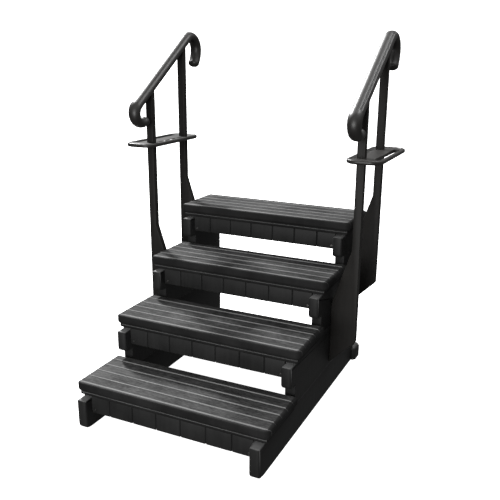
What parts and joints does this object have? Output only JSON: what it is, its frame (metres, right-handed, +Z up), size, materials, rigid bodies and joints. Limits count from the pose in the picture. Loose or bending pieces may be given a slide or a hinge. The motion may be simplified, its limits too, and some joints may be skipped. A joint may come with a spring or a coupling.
{
  "type": "pool ladder",
  "caption": "Resin pool entry stair with ridged treads on stacked side frames, open risers, and two scrolled handrails on posts that carry slotted towel trays.",
  "frame": {"origin": "on the ground at the middle of the footprint", "axes": "+Z up, +Y up the stairs towards the pool wall, +X to the climber's right"},
  "size_m": [1.332, 1.3146, 1.7181],
  "materials": {
    "resin": "fine-grained dark charcoal moulded resin with a soft sheen on the treads",
    "rail_resin": "smoother satin black-brown resin",
    "steel": "plain stainless steel"
  },
  "bodies": {
    "root": {"tread_1": "resin", "riser_1": "resin", "rear_crossbar_1": "resin", "tread_stiffener_1": "resin", "tread_2": "resin", "riser_2": "resin", "rear_crossbar_2": "resin", "tread_stiffener_2": "resin", "tread_3": "resin", "riser_3": "resin", "rear_crossbar_3": "resin", "tread_stiffener_3": "resin", "tread_4": "resin", "riser_4": "resin", "rear_crossbar_4": "resin", "tread_stiffener_4": "resin", "left_side_panel_1": "resin", "left_side_panel_2": "resin", "left_side_panel_3": "resin", "left_side_panel_4": "resin", "left_rear_foot": "resin", "left_front_post": "resin", "left_rear_post": "resin", "left_handrail": "rail_resin", "left_lower_rail_cap": "rail_resin", "left_upper_rail_cap": "rail_resin", "left_towel_tray": "rail_resin", "left_riser_screw_1": "steel", "left_riser_screw_2": "steel", "left_riser_screw_3": "steel", "left_riser_screw_4": "steel", "left_front_bolt_1": "steel", "left_front_bolt_2": "steel", "left_rear_bolt_1": "steel", "left_rear_bolt_2": "steel", "right_side_panel_1": "resin", "right_side_panel_2": "resin", "right_side_panel_3": "resin", "right_side_panel_4": "resin", "right_rear_foot": "resin", "right_front_post": "resin", "right_rear_post": "resin", "right_handrail": "rail_resin", "right_lower_rail_cap": "rail_resin", "right_upper_rail_cap": "rail_resin", "right_towel_tray": "rail_resin", "right_riser_screw_1": "steel", "right_riser_screw_2": "steel", "right_riser_screw_3": "steel", "right_riser_screw_4": "steel", "right_front_bolt_1": "steel", "right_front_bolt_2": "steel", "right_rear_bolt_1": "steel", "right_rear_bolt_2": "steel"}
  },
  "joints": []
}
